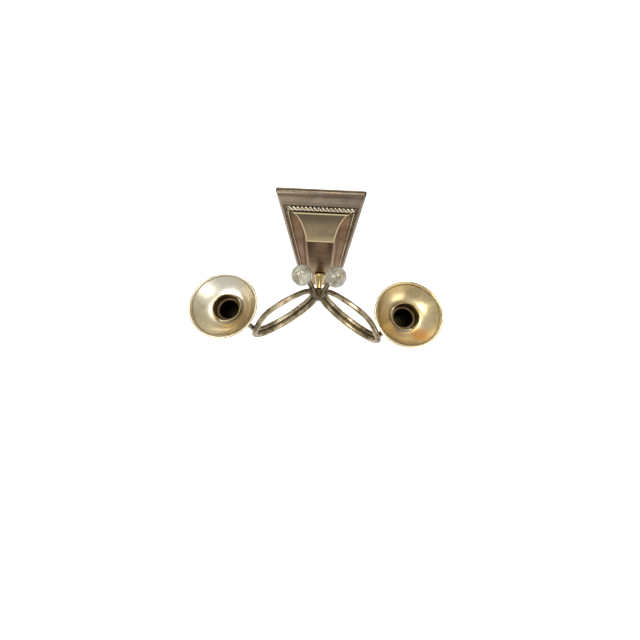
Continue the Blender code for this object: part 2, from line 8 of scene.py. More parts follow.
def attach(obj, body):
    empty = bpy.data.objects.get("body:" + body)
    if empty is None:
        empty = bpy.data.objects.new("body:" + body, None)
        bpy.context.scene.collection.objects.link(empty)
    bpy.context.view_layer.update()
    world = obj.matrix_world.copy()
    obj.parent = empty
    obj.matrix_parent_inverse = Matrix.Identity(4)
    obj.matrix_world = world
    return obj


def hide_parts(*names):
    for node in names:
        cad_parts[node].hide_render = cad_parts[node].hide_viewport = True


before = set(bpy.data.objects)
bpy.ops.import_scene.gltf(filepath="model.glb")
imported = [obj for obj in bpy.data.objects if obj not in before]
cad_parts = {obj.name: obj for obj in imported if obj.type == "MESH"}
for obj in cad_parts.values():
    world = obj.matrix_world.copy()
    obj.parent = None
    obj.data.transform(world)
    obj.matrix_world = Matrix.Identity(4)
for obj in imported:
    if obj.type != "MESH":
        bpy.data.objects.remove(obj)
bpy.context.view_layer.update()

MM = 0.001
GAP = 0.3 * MM    # clearance left between separate parts
SIDES = (("left", -1), ("right", 1))

# Dimensions in metres. +Z is up, the wall is the plane Y = 0 and the room lies on -Y.

# Back plate, pressed frame with its header and rails, copper panel and beads.
PLATE_TOP_WIDTH = 96.6 * MM
PLATE_BOTTOM_WIDTH = 77.9 * MM
PLATE_HEIGHT = 222.0 * MM
PLATE_HALF_HEIGHT = PLATE_HEIGHT / 2
PLATE_SHEET = 1.6 * MM
PLATE_CORNER = 3.2 * MM
FRAME_SHEET = 1.0 * MM
FRAME_DEPTH = 7.6 * MM
FRAME_STEP = 5.0 * MM
RAIL_BEVEL = 4.3 * MM
RAIL_CREST = 5.5 * MM
RAIL_WIDTH = 7.0 * MM
HEADER_BEVEL = 2.6 * MM
HEADER_CREST = 16.5 * MM
HEADER_WIDTH = 24.0 * MM
HEADER_ROUND = 7.5 * MM
RAIL_EDGE = 0.35 * MM
HEADER_EDGE = 0.4 * MM
EDGE_RISE = 1.1 * MM
HEADER_LINES = (12.4 * MM, 14.4 * MM)
LINE_GROOVE = ((-0.55 * MM, 0.0), (-0.35 * MM, 0.0), (-0.05 * MM, 0.32 * MM),
               (0.05 * MM, 0.32 * MM), (0.35 * MM, 0.0), (0.55 * MM, 0.0))    # (shift, depth)
LINE_SQUEEZE = 14 * MM    # header height that is squeezed onto the narrow rails, so the lines run on there
PANEL_SHEET = 1.1 * MM
PANEL_FRONT = PLATE_SHEET + GAP + PANEL_SHEET
BEAD_RADIUS = 1.1 * MM
ARM_LEVEL = -61.0 * MM

# Twisted rope and the studs at its ends.
ROPE_Z = ARM_LEVEL + 151.8 * MM
ROPE_HALF = 37.4 * MM
ROPE_STRAND = 1.32 * MM
ROPE_TURNS = 8
PIN_X = 39.1 * MM
PIN_RADIUS = 1.15 * MM

# Apron, bracket channel and horn.
APRON_TOP = ARM_LEVEL + 139.5 * MM
APRON_HEIGHT = 40.5 * MM
APRON_SHEET = 1.2 * MM
APRON_REACH = 12.8 * MM
APRON_LOW_HALF = 18.5 * MM
APRON_FLARE = 11.5 * MM
APRON_FLARE_POWER = 1.5
APRON_EAR = 4 * MM
APRON_EAR_FALL = 9.0
CHANNEL_TOP = ARM_LEVEL + 99.3 * MM
CHANNEL_BOTTOM = ARM_LEVEL - 40.0 * MM
CHANNEL_DEPTH = 20.0 * MM
CHANNEL_LEAN = 0.0462
CHANNEL_TUCK = 9.0 * MM
CHANNEL_FRONT_HALF = 18.5 * MM
CHANNEL_BACK_HALF = 25.5 * MM
CHANNEL_SHEET = 1.2 * MM
CHANNEL_NARROWING = 0.10
HORN_BASE_RADIUS = 10.0 * MM
HORN_TIP_RADIUS = 4.6 * MM
HORN_TIP_Y = 45.0 * MM
HORN_FACE_ROUND = 0.6 * MM
HORN_RIM = 1.6 * MM
STUD_RADIUS = 3.0 * MM
STUD_LENGTH = 7.4 * MM
TIP_PIN_LENGTH = 3.0 * MM

# Arms: each is one rod bent round an upright oval, with a brazed seam between its two lower runs.
ROD_RADIUS = 4.3 * MM
STRAND_PITCH = 8.9 * MM
LOOP_EXTRA = 3.2 * MM
STRAND_SPREAD = 1.2 * MM
ROD_DRAWN_RADIUS = STRAND_PITCH / 2 - 0.02 * MM
KNUCKLE_X = 8.0 * MM
KNUCKLE_Y = -55.9 * MM
KNUCKLE_WRAP = 4.9 * MM
KNUCKLE_HALF_HEIGHT = 6.5 * MM
KNUCKLE_HALF_BACK = 6.5 * MM
BOWL_X = 101.6 * MM
BOWL_Y = -119.3 * MM
OVAL_HALF_HEIGHT = 37.0 * MM
STEM_TOP = 90.9 * MM
CROSS_START = 0.08    # where the upper run starts to cross to the wall's side, and how long it takes
CROSS_RUN = 0.35
SEAM_STEPS = 90
SEAM_START = 0.07
SEAM_END = 0.93
SEAM_RADIUS = 1.5 * MM

# Balls on the inner ends of the rods.
BALL_RADIUS = 15.7 * MM
BALL_X = 25.2 * MM
BALL_Y = -46.9 * MM
BALL_RISE = 56.4 * MM
BALL_LEAN = radians(12)
BALL_TIP = radians(14)
BALL_PIN = 1.3 * MM
BALL_TO_ROD = 6.0 * MM
SEAT_RADIUS = 7.6 * MM
SOCKET_DEPTH = 6.0 * MM
SOCKET_SHARE = 0.2    # straight part of the first stretch of a rod
BALL_BEND_LEVER = 12 * MM

# Drip bowls, candle cups and loose sleeves.
BOWL_RADIUS = 37.7 * MM
BOWL_SHEET = 1.0 * MM
BOWL_RIM = ARM_LEVEL + 133.2 * MM
BOWL_DEPTH = 15.5 * MM
CUP_RADIUS = 15.7 * MM
CUP_WALL = 0.8 * MM
CUP_SUNK = 10.7 * MM
CUP_HEIGHT = 30.0 * MM
CUP_FLOOR = 1.2 * MM
SEAT_RISE = 1.9 * MM
SLEEVE_BORE = 11.0 * MM
SLEEVE_SUNK = 8.4 * MM
SLEEVE_WALL = 0.9 * MM

# Camera, fitted to the object's outline.
SENSOR = 36.0
FOCAL_PIXELS = 241.594
PICTURE_PIXELS = 640
CAMERA_RIGHT = Vector((0.998770, 0.0492972, 0.00530949))
CAMERA_UP = Vector((-0.0491583, 0.970560, 0.235788))
CAMERA_PLACE = (0.0070118, -0.1928414, 0.3248777)

# Studio: floor height, tones of the room from below to above, and soft disk lamps given as name,
# place, target, diameter, power in watts and colour.
FLOOR_LEVEL = -0.8
ROOM_TONES = ((0.0, (0.72, 0.71, 0.70, 1)), (0.45, (0.80, 0.80, 0.80, 1)), (1.0, (0.95, 0.95, 0.96, 1)))
ROOM_STRENGTH = 0.75
LAMPS = (
    ("key", (-0.7, -0.5, 1.3), (0, -0.06, 0), 0.7, 14, (1, 1, 1)),
    ("fill", (0.9, -0.9, 0.8), (0, -0.06, 0), 0.8, 6, (1.0, 0.97, 0.92)),
    ("rim", (0.1, 0.25, 1.2), (0, -0.08, 0), 0.4, 5, (1, 1, 1)),
)

# How finely the meshes are made.
SOFTEN_FROM = radians(12)    # corners of an outline that turn by less stay as they are
SOFTEN_SHARE = 0.42
SOFTEN_STEPS = 4
CORNER_STEPS = 6
WELD = 0.002 * MM
TURNED_SHARP = 48
ROD_SHARP = 50
ROD_END_REACH = 0.16
ROD_END_RINGS = ((0.10, 0.96), (ROD_END_REACH, 0.88))


# ---------------------------------------------------------------- geometry

def add_piece(name, mesh, material, body, stands_for, location=(0, 0, 0), rotation=(0, 0, 0)):
    """Piece that rides on a body and stands for a CAD node, or for none."""
    mesh.materials.clear()
    mesh.materials.append(material)
    piece = bpy.data.objects.new(name, mesh)
    piece.location = location
    piece.rotation_euler = rotation
    bpy.context.scene.collection.objects.link(piece)
    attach(piece, body)
    if stands_for is not None:
        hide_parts(stands_for)
    return piece


def bevel(piece, width, segments, angle):
    mod = piece.modifiers.new("edge", 'BEVEL')
    mod.width = width
    mod.segments = segments
    mod.limit_method = 'ANGLE'
    mod.angle_limit = radians(angle)


def finish_mesh(name, work, angle):
    """Mesh from the bmesh, smooth, with edges sharper than the angle kept."""
    bmesh.ops.recalc_face_normals(work, faces=work.faces)
    mesh = bpy.data.meshes.new(name)
    work.to_mesh(mesh)
    work.free()
    mesh.shade_smooth()
    mesh.set_sharp_from_angle(angle=radians(angle))
    return mesh


def loft(name, rings, close=False, angle=40):
    """Skin over rings of equally many points: closed into a ring itself, or capped at both ends."""
    work = bmesh.new()
    rows = [[work.verts.new(point) for point in ring] for ring in rings]
    size = len(rows[0])
    for row in range(len(rows) if close else len(rows) - 1):
        low, high = rows[row], rows[(row + 1) % len(rows)]
        for k in range(size):
            after = (k + 1) % size
            work.faces.new((low[k], low[after], high[after], high[k]))
    if not close:
        work.faces.new(rows[0][::-1])
        work.faces.new(rows[-1])
    return finish_mesh(name, work, angle)


def rounded(start, corner, end, steps):
    """Points of the quadratic curve that rounds a corner."""
    points = []
    for step in range(steps + 1):
        u = step / steps
        points.append(start * (1 - u) ** 2 + corner * (2 * u * (1 - u)) + end * u * u)
    return points


def soften(outline, radius, loop):
    """Round the corners of a (radius, height) outline."""
    count = len(outline)
    out = []
    for k, point in enumerate(outline):
        if not loop and k in (0, count - 1):
            out.append(point)
            continue
        p = Vector(point)
        a, b = Vector(outline[k - 1]) - p, Vector(outline[(k + 1) % count]) - p
        degenerate = a.length < 1e-7 or b.length < 1e-7
        if degenerate or p.x <= 0 or pi - a.angle(b) < SOFTEN_FROM:
            out.append(point)
            continue
        reach = min(radius, SOFTEN_SHARE * a.length, SOFTEN_SHARE * b.length)
        curve = rounded(p + a.normalized() * reach, p, p + b.normalized() * reach, SOFTEN_STEPS)
        out += [(q.x, q.y) for q in curve]
    return out


def turned(name, outline, steps, radius=0.3 * MM):
    """Solid of revolution round +Z. An outline that leaves the axis closes on itself."""
    loop = outline[0][0] > 0 or outline[-1][0] > 0
    outline = soften(outline, radius, loop)
    work = bmesh.new()
    verts = [work.verts.new((r, 0.0, h)) for r, h in outline]
    pairs = list(zip(verts, verts[1:]))
    if loop:
        pairs.append((verts[-1], verts[0]))
    edges = [work.edges.new(pair) for pair in pairs]
    bmesh.ops.spin(work, geom=verts + edges, cent=(0, 0, 0), axis=(0, 0, 1), angle=2 * pi,
                   steps=steps, use_merge=True)
    bmesh.ops.remove_doubles(work, verts=work.verts, dist=WELD)
    return finish_mesh(name, work, TURNED_SHARP)


def rod_mesh(name, path, radii, sides):
    """Tube along a path, its cross-section carried along without twist, with rounded ends."""
    count = len(path)
    if not hasattr(radii, "__len__"):
        radii = [radii] * count
    tangents = [(path[min(k + 1, count - 1)] - path[max(k - 1, 0)]).normalized() for k in range(count)]
    side = tangents[0].orthogonal().normalized()
    rings = []
    for k, (point, along) in enumerate(zip(path, tangents)):
        side = (side - along * side.dot(along)).normalized()
        up = along.cross(side)
        rings.append([point + (side * cos(2 * pi * j / sides) + up * sin(2 * pi * j / sides)) * radii[k]
                      for j in range(sides)])
    for end, along in ((0, -tangents[0]), (-1, tangents[-1])):
        centre, ring, reach = path[end], rings[end], ROD_END_REACH * radii[end]
        extra = [[centre + (p - centre) * share + along * (lift * radii[end] - reach) for p in ring]
                 for lift, share in ROD_END_RINGS]
        rings[end] = [p - along * reach for p in ring]
        rings = extra[::-1] + rings if end == 0 else rings + extra
    return loft(name, rings, angle=ROD_SHARP)


def thicken(line, sheet):
    """Closed outline of a sheet whose upper face is the line."""
    moved = []
    for k, (radius, height) in enumerate(line):
        before, after = line[max(k - 1, 0)], line[min(k + 1, len(line) - 1)]
        run, rise = after[0] - before[0], after[1] - before[1]
        length = sqrt(run * run + rise * rise)
        moved.append((radius + sheet * rise / length, height - sheet * run / length))
    return line + moved[::-1]


def plate_half(z):
    """Half the width of the tapered plate at height z."""
    middle = (PLATE_TOP_WIDTH + PLATE_BOTTOM_WIDTH) / 4
    return middle + z * (PLATE_TOP_WIDTH - PLATE_BOTTOM_WIDTH) / (2 * PLATE_HEIGHT)


def plate_ring(y, side, top, corner):
    """Outline of the plate at depth y, drawn in by side and top, with rounded corners."""
    high, low = PLATE_HALF_HEIGHT - top, side - PLATE_HALF_HEIGHT
    wide, narrow = plate_half(high) - side, plate_half(low) - side
    corners = [Vector((-wide, y, high)), Vector((wide, y, high)),
               Vector((narrow, y, low)), Vector((-narrow, y, low))]
    ring = []
    for k, point in enumerate(corners):
        start = point + (corners[k - 1] - point).normalized() * corner
        end = point + (corners[(k + 1) % 4] - point).normalized() * corner
        ring += rounded(start, point, end, CORNER_STEPS)
    return ring


# ---------------------------------------------------------------- materials

GRIME_TINT = (0.72, 0.70, 0.66, 1)
TURNING_MARKS = 5200.0    # radians per metre of the fine rings that turning leaves in a bowl


def tone(r, g, b):
    """Linear colour from an sRGB one of 0 to 255."""
    out = []
    for v in (r, g, b):
        v /= 255.0
        out.append(v / 12.92 if v <= 0.04045 else ((v + 0.055) / 1.055) ** 2.4)
    return (*out, 1.0)


class Kit:
    """Small helper for building node trees."""

    def __init__(self, name):
        self.material = bpy.data.materials.new(name)
        self.material.use_nodes = True
        self.tree = self.material.node_tree
        self.shader = self.tree.nodes["Principled BSDF"]
        self.coords = self.tree.nodes.new("ShaderNodeTexCoord").outputs["Object"]

    def set(self, socket, value):
        if hasattr(value, "is_output"):
            self.tree.links.new(value, socket)
        else:
            socket.default_value = value

    def math(self, kind, a, b=0.0, clamp=False):
        node = self.tree.nodes.new("ShaderNodeMath")
        node.operation = kind
        node.use_clamp = clamp
        self.set(node.inputs[0], a)
        self.set(node.inputs[1], b)
        return node.outputs[0]

    def scaled(self, scale, location=(0, 0, 0)):
        node = self.tree.nodes.new("ShaderNodeMapping")
        self.tree.links.new(self.coords, node.inputs["Vector"])
        node.inputs["Scale"].default_value = scale
        node.inputs["Location"].default_value = location
        return node.outputs[0]

    def noise(self, scale, detail=3.0, rough=0.55, vector=None, distortion=0.0):
        node = self.tree.nodes.new("ShaderNodeTexNoise")
        self.tree.links.new(vector or self.coords, node.inputs["Vector"])
        node.inputs["Scale"].default_value = scale
        node.inputs["Detail"].default_value = detail
        node.inputs["Roughness"].default_value = rough
        node.inputs["Distortion"].default_value = distortion
        return node.outputs["Fac"]

    def span(self, value, low, high, to_low=0.0, to_high=1.0, smooth=False):
        node = self.tree.nodes.new("ShaderNodeMapRange")
        node.clamp = True
        if smooth:
            node.interpolation_type = 'SMOOTHSTEP'
        self.tree.links.new(value, node.inputs["Value"])
        node.inputs["From Min"].default_value = low
        node.inputs["From Max"].default_value = high
        node.inputs["To Min"].default_value = to_low
        node.inputs["To Max"].default_value = to_high
        return node.outputs["Result"]

    def ramp(self, value, stops):
        node = self.tree.nodes.new("ShaderNodeValToRGB")
        self.tree.links.new(value, node.inputs[0])
        elements = node.color_ramp.elements
        while len(elements) < len(stops):
            elements.new(0.5)
        for element, (place, colour) in zip(elements, stops):
            element.position = place
            element.color = colour
        return node.outputs[0]

    def mix(self, factor, a, b, blend='MIX'):
        node = self.tree.nodes.new("ShaderNodeMix")
        node.data_type = 'RGBA'
        node.blend_type = blend
        self.set(node.inputs[0], factor)
        self.set(node.inputs[6], a)
        self.set(node.inputs[7], b)
        return node.outputs[2]

    def axis(self, which, source=None):
        node = self.tree.nodes.new("ShaderNodeSeparateXYZ")
        self.tree.links.new(source or self.coords, node.inputs[0])
        return node.outputs[which]

    def normal(self, which):
        node = self.tree.nodes.new("ShaderNodeNewGeometry")
        return self.axis(which, node.outputs["Normal"])

    def radius(self):
        x, y = self.axis(0), self.axis(1)
        return self.math('SQRT', self.math('ADD', self.math('MULTIPLY', x, x), self.math('MULTIPLY', y, y)))

    def bump(self, height, distance, strength=1.0, before=None):
        node = self.tree.nodes.new("ShaderNodeBump")
        node.inputs["Distance"].default_value = distance
        node.inputs["Strength"].default_value = strength
        self.tree.links.new(height, node.inputs["Height"])
        if before is not None:
            self.tree.links.new(before, node.inputs["Normal"])
        return node.outputs[0]


def aged_metal(name, stops, rough, grain=(1, 1, 1), grain_scale=300.0, grain_depth=0.02,
               spots=0.4, spot_tone=(60, 48, 32), shade=None, blotch=38.0, dent=0.05):
    """Brass or copper with blotches, a drawn or brushed grain, tarnish spots and fine wear.

    stops are sRGB tones from dark to light, rough is the range of roughness, grain stretches
    the streaks, and grain_depth and dent are the heights of their bumps in millimetres.
    """
    kit = Kit(name)
    blotches = kit.noise(blotch, 5.0, 0.6, distortion=0.4)
    streaks = kit.noise(grain_scale, 4.0, 0.6, kit.scaled(grain))
    fine = kit.noise(1500.0, 2.0, 0.6)
    blend = kit.math('ADD', kit.math('MULTIPLY', blotches, 0.62), kit.math('MULTIPLY', streaks, 0.38))
    last = len(stops) - 1
    colour = kit.ramp(kit.span(blend, 0.33, 0.67), [(k / last, tone(*s)) for k, s in enumerate(stops)])
    if shade is not None:
        colour = shade(kit, colour)
    marks = kit.span(kit.noise(260.0, 4.0, 0.7), 0.56, 0.74, 0.0, spots, smooth=True)
    colour = kit.mix(marks, colour, tone(*spot_tone))
    dimmed = kit.mix(1.0, colour, GRIME_TINT, 'MULTIPLY')
    colour = kit.mix(kit.span(fine, 0.3, 0.7, 0.0, 0.16), colour, dimmed)
    kit.set(kit.shader.inputs["Base Color"], colour)
    kit.set(kit.shader.inputs["Metallic"], 1.0)
    worn = kit.math('ADD', kit.span(streaks, 0.3, 0.7, *rough), kit.math('MULTIPLY', marks, 0.22), clamp=True)
    kit.set(kit.shader.inputs["Roughness"], worn)
    normal = kit.bump(streaks, grain_depth * MM)
    normal = kit.bump(kit.noise(120.0, 4.0, 0.6), dent * MM, before=normal)
    kit.set(kit.shader.inputs["Normal"], normal)
    return kit


def header_shade(kit, colour):
    """Darker under the header, warmer rails, and painted shade on faces that look up and along the outer
    edge.
    """
    z, x = kit.axis(2), kit.axis(0)
    darker = kit.span(z, PLATE_HALF_HEIGHT - 18 * MM, PLATE_HALF_HEIGHT - 10 * MM, 0.25, 0.0, smooth=True)
    colour = kit.mix(darker, colour, tone(104, 91, 76))
    paler = kit.span(x, -8 * MM, -46 * MM, 0.0, 0.35)
    colour = kit.mix(paler, colour, tone(158, 142, 120))
    rail = kit.span(z, 60 * MM, 86 * MM, 0.35, 0.0)
    colour = kit.mix(rail, colour, tone(146, 120, 96))
    # painted shade on faces that look up, damping their bright reflection of the room above
    edge = kit.span(kit.normal(2), 0.25, 0.85, 0.0, 0.62, smooth=True)
    colour = kit.mix(edge, colour, tone(92, 79, 66))
    slope = (PLATE_TOP_WIDTH - PLATE_BOTTOM_WIDTH) / (2 * PLATE_HEIGHT)
    half = kit.math('ADD', (PLATE_TOP_WIDTH + PLATE_BOTTOM_WIDTH) / 4, kit.math('MULTIPLY', z, slope))
    inward = kit.math('SUBTRACT', half, kit.math('ABSOLUTE', x))
    # painted shade along the plate's outer edge, standing for its side wall in shadow
    outer = kit.span(inward, 2.4 * MM, 0.6 * MM, 0.0, 0.65)
    return kit.mix(outer, colour, tone(84, 72, 58))


def copper_shade(kit, colour):
    """Painted shadow of the header on the copper, browner towards the rope."""
    # painted shadow cast by the header, browner towards the rope
    painted_header_shadow = kit.span(kit.axis(2), APRON_TOP - 15 * MM, APRON_TOP - 5 * MM, 0.0, 0.8, smooth=True)
    return kit.mix(painted_header_shadow, colour, tone(88, 76, 60))


def apron_shade(kit, colour):
    """Painted shade at the top, painted light at the bottom, and a bright rim all round, rubbed brass with a
    painted highlight.
    """
    z, foot = kit.axis(2), APRON_TOP - APRON_HEIGHT
    # painted shade at the top, under the rope
    top = kit.span(z, APRON_TOP - 26 * MM, APRON_TOP - 5 * MM, 0.0, 0.9, smooth=True)
    colour = kit.mix(top, colour, tone(84, 72, 57))
    # painted light at the bottom, where the sheet curves out
    low = kit.span(z, foot + 12 * MM, foot, 0.0, 0.75, smooth=True)
    colour = kit.mix(low, colour, tone(196, 176, 136))
    u = kit.math('DIVIDE', kit.math('SUBTRACT', APRON_TOP, z), APRON_HEIGHT)
    rest = kit.math('MAXIMUM', kit.math('SUBTRACT', 1.0, u), 0.0)
    flare = kit.math('MULTIPLY', kit.math('POWER', rest, APRON_FLARE_POWER), APRON_FLARE)
    ears = kit.math('MULTIPLY', kit.math('EXPONENT', kit.math('MULTIPLY', u, -APRON_EAR_FALL)), APRON_EAR)
    half = kit.math('ADD', kit.math('ADD', flare, ears), APRON_LOW_HALF)
    inward = kit.math('SUBTRACT', half, kit.math('ABSOLUTE', kit.axis(0)))
    rim = kit.span(inward, 1.5 * MM, 0.7 * MM, 0.0, 0.85)
    bottom = kit.span(z, foot + 1.9 * MM, foot + 1.0 * MM, 0.0, 0.85)
    lip = kit.span(z, APRON_TOP - 2.2 * MM, APRON_TOP - 1.2 * MM, 0.0, 0.7)
    # rubbed bright rim along the sides, foot and top lip, with a painted highlight
    bright = kit.math('MAXIMUM', rim, kit.math('MAXIMUM', bottom, lip))
    return kit.mix(bright, colour, tone(232, 214, 166))


def channel_shade(kit, colour):
    """Painted shade on the front face under the apron, painted light on the folded flanks, most on the right
    one.
    """
    z, x = kit.axis(2), kit.axis(0)
    # painted shade on the front face under the apron
    dark = kit.span(z, CHANNEL_TOP - 62 * MM, CHANNEL_TOP - 14 * MM, 0.0, 0.7, smooth=True)
    colour = kit.mix(dark, colour, tone(86, 66, 46))
    wide = kit.math('ABSOLUTE', x)
    # painted light on the folded flanks
    flank = kit.span(wide, 18.6 * MM, 19.6 * MM, 0.0, 0.85)
    colour = kit.mix(flank, colour, tone(168, 137, 106))
    # more painted light on the right flank
    right = kit.span(x, 19.0 * MM, 20.0 * MM, 0.0, 0.6)
    return kit.mix(right, colour, tone(198, 170, 145))


def rod_shade(kit, colour):
    """Rubbed bright in patches, brown outwards, darker by the knuckle, and painted shade on faces that look
    down.
    """
    worn = kit.span(kit.noise(55.0, 3.0, 0.6), 0.42, 0.62, 0.0, 0.65, smooth=True)
    colour = kit.mix(worn, colour, tone(204, 192, 164))
    away = kit.math('ABSOLUTE', kit.axis(0))
    ends = kit.span(away, 78 * MM, 104 * MM, 0.0, 0.55, smooth=True)
    colour = kit.mix(ends, colour, tone(92, 66, 48))
    inner = kit.span(away, 20 * MM, 8 * MM, 0.0, 0.7, smooth=True)
    colour = kit.mix(inner, colour, tone(84, 74, 52))
    # painted shade on faces that look down
    under = kit.span(kit.normal(2), 0.1, -0.7, 0.0, 0.4)
    return kit.mix(under, colour, tone(70, 56, 34))


def bowl_shade(pale):
    """Painted light and reflection round a bowl, its turning marks, painted shade in its groove and at its
    neck, a darker rim edge, and a painted warm reflection on the golden one.
    """
    def shade(kit, colour):
        radius = kit.radius()
        x, y = kit.axis(0), kit.axis(1)
        # painted light and reflection: different tones on the sides towards the wall, the room and the middle
        far = kit.span(y, -4 * MM, 30 * MM, 0.0, 0.8 if pale else 0.3, smooth=True)
        colour = kit.mix(far, colour, tone(244, 241, 228) if pale else tone(182, 166, 132))
        near = kit.span(y, 4 * MM, -26 * MM, 0.0, 0.8 if pale else 0.95, smooth=True)
        colour = kit.mix(near, colour, tone(228, 215, 180) if pale else tone(255, 238, 196))
        inner = 8 * MM if pale else -8 * MM
        side = kit.span(x, inner, 4 * inner, 0.0, 0.5 if pale else 0.8, smooth=True)
        colour = kit.mix(side, colour, tone(232, 216, 178))
        rings = kit.math('SINE', kit.math('MULTIPLY', radius, TURNING_MARKS))
        colour = kit.mix(kit.span(rings, -1.0, 1.0, 0.0, 0.10), colour, tone(112, 96, 66))
        # painted shade in the groove near the rim
        groove = kit.math('ABSOLUTE', kit.math('SUBTRACT', radius, BOWL_RADIUS - 3.5 * MM))
        colour = kit.mix(kit.span(groove, 0.8 * MM, 0.25 * MM, 0.0, 0.85), colour, tone(88, 74, 48))
        edge = kit.span(radius, BOWL_RADIUS - 1.2 * MM, BOWL_RADIUS - 0.1 * MM, 0.0, 0.55)
        colour = kit.mix(edge, colour, tone(128, 116, 92))
        # painted shade where the bowl meets the cup
        neck = kit.span(radius, CUP_RADIUS + 4.5 * MM, CUP_RADIUS + 0.6 * MM, 0.0, 0.7, smooth=True)
        colour = kit.mix(neck, colour, tone(92, 72, 40))
        if not pale:
            # painted warm reflection on the golden bowl
            place = kit.scaled((1, 1, 0.4), location=(-14 * MM, 20 * MM, 3 * MM))
            distance = kit.tree.nodes.new("ShaderNodeVectorMath")
            distance.operation = 'LENGTH'
            kit.tree.links.new(place, distance.inputs[0])
            painted_warm_reflection = kit.span(distance.outputs["Value"], 13 * MM, 3 * MM, 0.0, 0.85, smooth=True)
            colour = kit.mix(painted_warm_reflection, colour, tone(236, 172, 92))
        return colour
    return shade


def depth_shade(top, bottom, wall, dark):
    """Painted shade that deepens downwards on the inner wall and floor only."""
    def shade(kit, colour):
        # painted shade, darker lower down inside
        down = kit.span(kit.axis(2), top, bottom, 0.0, 0.97, smooth=True)
        within = kit.span(kit.radius(), wall + 0.15 * MM, wall - 0.15 * MM)
        above = kit.span(kit.axis(2), 0.4 * MM - CUP_HEIGHT, 0.9 * MM - CUP_HEIGHT)
        mask = kit.math('MULTIPLY', kit.math('MULTIPLY', down, within), above)
        return kit.mix(mask, colour, tone(*dark))
    return shade


BOWL_SURFACE = dict(grain_scale=180.0, grain_depth=0.006, dent=0.012)

METALS = {
    "plate": dict(
        name="brushed_header_brass", stops=[(98, 85, 71), (124, 110, 94), (146, 132, 115)],
        rough=(0.30, 0.48), grain=(0.05, 1, 1), grain_scale=900.0, grain_depth=0.03,
        spots=0.35, spot_tone=(70, 58, 44), shade=header_shade),
    "back": dict(
        name="dull_plate_brass", stops=[(92, 78, 58), (120, 102, 76), (142, 124, 94)],
        rough=(0.42, 0.6), grain_scale=320.0, spots=0.6, spot_tone=(56, 50, 38)),
    "copper": dict(
        name="aged_copper", stops=[(98, 74, 52), (130, 101, 76), (156, 126, 100)],
        rough=(0.32, 0.52), grain=(1, 1, 0.04), grain_scale=700.0, grain_depth=0.03,
        spots=0.5, spot_tone=(66, 46, 30), shade=copper_shade),
    "bead": dict(
        name="rubbed_bead_brass", stops=[(150, 134, 104), (186, 172, 142), (214, 204, 178)],
        rough=(0.22, 0.36), grain=(1, 1, 0.2), grain_scale=500.0, grain_depth=0.01,
        spot_tone=(92, 76, 50)),
    "rope": dict(
        name="rope_brass", stops=[(158, 146, 122), (196, 186, 164), (226, 220, 204)],
        rough=(0.20, 0.34), grain=(0.3, 1, 1), grain_scale=500.0, grain_depth=0.01,
        spots=0.5, spot_tone=(60, 48, 34)),
    "pin": dict(
        name="pin_brass", stops=[(96, 82, 58), (132, 114, 84), (160, 142, 108)],
        rough=(0.3, 0.45), spots=0.5),
    "apron": dict(
        name="satin_apron_brass", stops=[(104, 91, 70), (130, 115, 90), (158, 142, 110)],
        rough=(0.26, 0.42), grain=(0.06, 1, 1), grain_scale=800.0, grain_depth=0.03,
        spots=0.3, spot_tone=(78, 66, 46), shade=apron_shade),
    "channel": dict(
        name="channel_brass", stops=[(112, 89, 65), (134, 108, 80), (160, 132, 100)],
        rough=(0.26, 0.44), grain=(0.05, 1, 1), grain_scale=800.0, grain_depth=0.03,
        spots=0.3, spot_tone=(64, 48, 34), shade=channel_shade),
    "horn": dict(
        name="polished_gold_brass", stops=[(176, 150, 96), (206, 182, 128), (232, 212, 164)],
        rough=(0.14, 0.26), grain=(1, 1, 0.3), grain_scale=400.0, grain_depth=0.01,
        spots=0.25, spot_tone=(96, 74, 40)),
    "rod": dict(
        name="tarnished_rod_brass", stops=[(92, 78, 54), (138, 122, 92), (170, 156, 126)],
        rough=(0.22, 0.42), grain_scale=240.0, grain_depth=0.03,
        spots=0.55, spot_tone=(58, 46, 26), shade=rod_shade, blotch=70.0),
    "braze": dict(
        name="brazed_joint", stops=[(58, 50, 34), (84, 74, 52), (116, 102, 72)],
        rough=(0.38, 0.62), grain_scale=420.0, grain_depth=0.1, spots=0.6, spot_tone=(38, 34, 24)),
    "bowl_left": dict(
        name="pale_bowl_brass", stops=[(192, 177, 142), (212, 200, 170), (228, 220, 198)],
        rough=(0.30, 0.42), spots=0.22, spot_tone=(150, 132, 96),
        shade=bowl_shade(pale=True), **BOWL_SURFACE),
    "bowl_right": dict(
        name="golden_bowl_brass", stops=[(170, 150, 106), (198, 180, 136), (218, 204, 164)],
        rough=(0.28, 0.40), spots=0.25, spot_tone=(128, 106, 66),
        shade=bowl_shade(pale=False), **BOWL_SURFACE),
    # cup and sleeve get painted shade inside, deepening downwards
    "cup": dict(
        name="cup_brass_painted_shade", stops=[(118, 100, 62), (156, 136, 92), (190, 172, 128)],
        rough=(0.26, 0.44), spots=0.5,
        shade=depth_shade(-1.5 * MM, -12 * MM, CUP_RADIUS - 0.4 * MM, (16, 13, 8))),
    "sleeve": dict(
        name="sleeve_brass_painted_shade", stops=[(60, 50, 34), (88, 74, 50), (112, 96, 68)],
        rough=(0.34, 0.56), spots=0.6, spot_tone=(30, 24, 16),
        shade=depth_shade(-0.4 * MM, -2.5 * MM, SLEEVE_BORE + 0.4 * MM, (8, 7, 5))),
}


